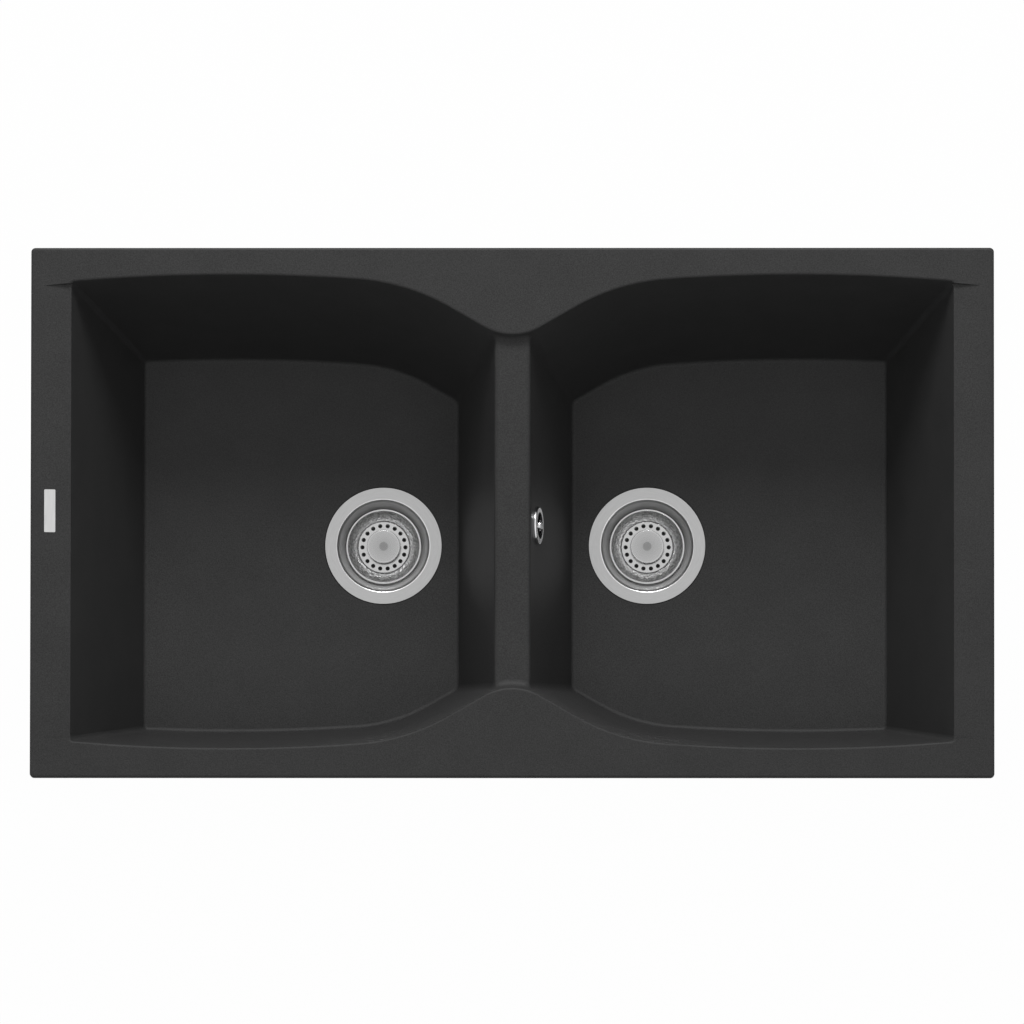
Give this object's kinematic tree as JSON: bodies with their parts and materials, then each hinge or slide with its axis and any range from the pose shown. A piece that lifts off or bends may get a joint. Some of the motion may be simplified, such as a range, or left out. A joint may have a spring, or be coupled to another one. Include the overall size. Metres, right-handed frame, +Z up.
{
  "type": "double bowl kitchen sink",
  "caption": "Inset composite stone kitchen sink with equal bowls either side of a lowered divider, basket strainers, overflow and joined waste pipes.",
  "frame": {"origin": "middle of the rim's outline, on the worktop plane that the rim's seal rests on", "axes": "+X along the two bowls to the right as seen from the front, +Y to the wall side, +Z up out of the bowls"},
  "size_m": [0.9, 0.496, 0.3639],
  "materials": {
    "granite": "matt, fine grain",
    "stainless": "satin",
    "chrome": "polished",
    "plate": "satin",
    "zinc_steel": "zinc plated",
    "rubber": "matt",
    "nut_plastic": "moulded",
    "hose_plastic": "moulded",
    "plug_plastic": "moulded",
    "pipe_plastic": "moulded"
  },
  "bodies": {
    "sink": {"clamp_plugs": "plug_plastic", "cross_pipe": "pipe_plastic", "flange_gasket_left": "rubber", "flange_gasket_right": "rubber", "hose_clips": "zinc_steel", "name_plate": "plate", "outlet_tee": "pipe_plastic", "overflow_cup": "pipe_plastic", "overflow_gasket": "rubber", "overflow_hose": "hose_plastic", "overflow_rosette": "chrome", "overflow_screw": "chrome", "pipe_nut_left": "nut_plastic", "pipe_nut_right": "nut_plastic", "pipe_seal_left": "rubber", "pipe_seal_right": "rubber", "rim_seal": "rubber", "sink_body": "granite", "strainer_flange_left": "stainless", "strainer_flange_right": "stainless", "waste_bend": "pipe_plastic", "waste_body_left": "pipe_plastic", "waste_body_right": "pipe_plastic", "waste_nut_left": "nut_plastic", "waste_nut_right": "nut_plastic", "waste_screw_left": "zinc_steel", "waste_screw_right": "zinc_steel", "waste_seal_left": "rubber", "waste_seal_right": "rubber", "waste_washer_left": "rubber", "waste_washer_right": "rubber"},
    "basket_left": {"basket_left": "stainless", "basket_knob_left": "chrome", "plug_seal_left": "rubber"},
    "basket_right": {"basket_right": "stainless", "basket_knob_right": "chrome", "plug_seal_right": "rubber"},
    "clamp_screw_1": {"clamp_screw_1": "zinc_steel"},
    "clamp_claw_1": {"clamp_claw_1": "zinc_steel"},
    "clamp_screw_2": {"clamp_screw_2": "zinc_steel"},
    "clamp_claw_2": {"clamp_claw_2": "zinc_steel"},
    "clamp_screw_3": {"clamp_screw_3": "zinc_steel"},
    "clamp_claw_3": {"clamp_claw_3": "zinc_steel"},
    "clamp_screw_4": {"clamp_screw_4": "zinc_steel"},
    "clamp_claw_4": {"clamp_claw_4": "zinc_steel"},
    "clamp_screw_5": {"clamp_screw_5": "zinc_steel"},
    "clamp_claw_5": {"clamp_claw_5": "zinc_steel"},
    "clamp_screw_6": {"clamp_screw_6": "zinc_steel"},
    "clamp_claw_6": {"clamp_claw_6": "zinc_steel"},
    "clamp_screw_7": {"clamp_screw_7": "zinc_steel"},
    "clamp_claw_7": {"clamp_claw_7": "zinc_steel"},
    "clamp_screw_8": {"clamp_screw_8": "zinc_steel"},
    "clamp_claw_8": {"clamp_claw_8": "zinc_steel"}
  },
  "joints": [
    {"name": "basket_left_lift", "type": "slide", "parent": "sink", "child": "basket_left", "axis": [0, 0, 1], "range_m": [0, 0.26]},
    {"name": "basket_right_lift", "type": "slide", "parent": "sink", "child": "basket_right", "axis": [0, 0, 1], "range_m": [0, 0.26]},
    {"name": "clamp_1_screw", "type": "slide", "parent": "sink", "child": "clamp_screw_1", "axis": [0, 0, 1], "range_m": [-0.002, 0.022]},
    {"name": "clamp_1_swing", "type": "hinge", "parent": "clamp_screw_1", "child": "clamp_claw_1", "pos_m": [-0.4305, -0.13, -0.063], "axis": [0, 0, 1], "range_deg": [0, 90]},
    {"name": "clamp_2_screw", "type": "slide", "parent": "sink", "child": "clamp_screw_2", "axis": [0, 0, 1], "range_m": [-0.002, 0.022]},
    {"name": "clamp_2_swing", "type": "hinge", "parent": "clamp_screw_2", "child": "clamp_claw_2", "pos_m": [-0.4305, 0.13, -0.063], "axis": [0, 0, 1], "range_deg": [-90, 0]},
    {"name": "clamp_3_screw", "type": "slide", "parent": "sink", "child": "clamp_screw_3", "axis": [0, 0, 1], "range_m": [-0.002, 0.022]},
    {"name": "clamp_3_swing", "type": "hinge", "parent": "clamp_screw_3", "child": "clamp_claw_3", "pos_m": [0.4305, -0.13, -0.063], "axis": [0, 0, 1], "range_deg": [-90, 0]},
    {"name": "clamp_4_screw", "type": "slide", "parent": "sink", "child": "clamp_screw_4", "axis": [0, 0, 1], "range_m": [-0.002, 0.022]},
    {"name": "clamp_4_swing", "type": "hinge", "parent": "clamp_screw_4", "child": "clamp_claw_4", "pos_m": [0.4305, 0.13, -0.063], "axis": [0, 0, 1], "range_deg": [0, 90]},
    {"name": "clamp_5_screw", "type": "slide", "parent": "sink", "child": "clamp_screw_5", "axis": [0, 0, 1], "range_m": [-0.002, 0.022]},
    {"name": "clamp_5_swing", "type": "hinge", "parent": "clamp_screw_5", "child": "clamp_claw_5", "pos_m": [-0.052, -0.2205, -0.063], "axis": [0, 0, 1], "range_deg": [0, 90]},
    {"name": "clamp_6_screw", "type": "slide", "parent": "sink", "child": "clamp_screw_6", "axis": [0, 0, 1], "range_m": [-0.002, 0.022]},
    {"name": "clamp_6_swing", "type": "hinge", "parent": "clamp_screw_6", "child": "clamp_claw_6", "pos_m": [0.052, -0.2205, -0.063], "axis": [0, 0, 1], "range_deg": [-90, 0]},
    {"name": "clamp_7_screw", "type": "slide", "parent": "sink", "child": "clamp_screw_7", "axis": [0, 0, 1], "range_m": [-0.002, 0.022]},
    {"name": "clamp_7_swing", "type": "hinge", "parent": "clamp_screw_7", "child": "clamp_claw_7", "pos_m": [-0.052, 0.2205, -0.063], "axis": [0, 0, 1], "range_deg": [-90, 0]},
    {"name": "clamp_8_screw", "type": "slide", "parent": "sink", "child": "clamp_screw_8", "axis": [0, 0, 1], "range_m": [-0.002, 0.022]},
    {"name": "clamp_8_swing", "type": "hinge", "parent": "clamp_screw_8", "child": "clamp_claw_8", "pos_m": [0.052, 0.2205, -0.063], "axis": [0, 0, 1], "range_deg": [0, 90]}
  ]
}
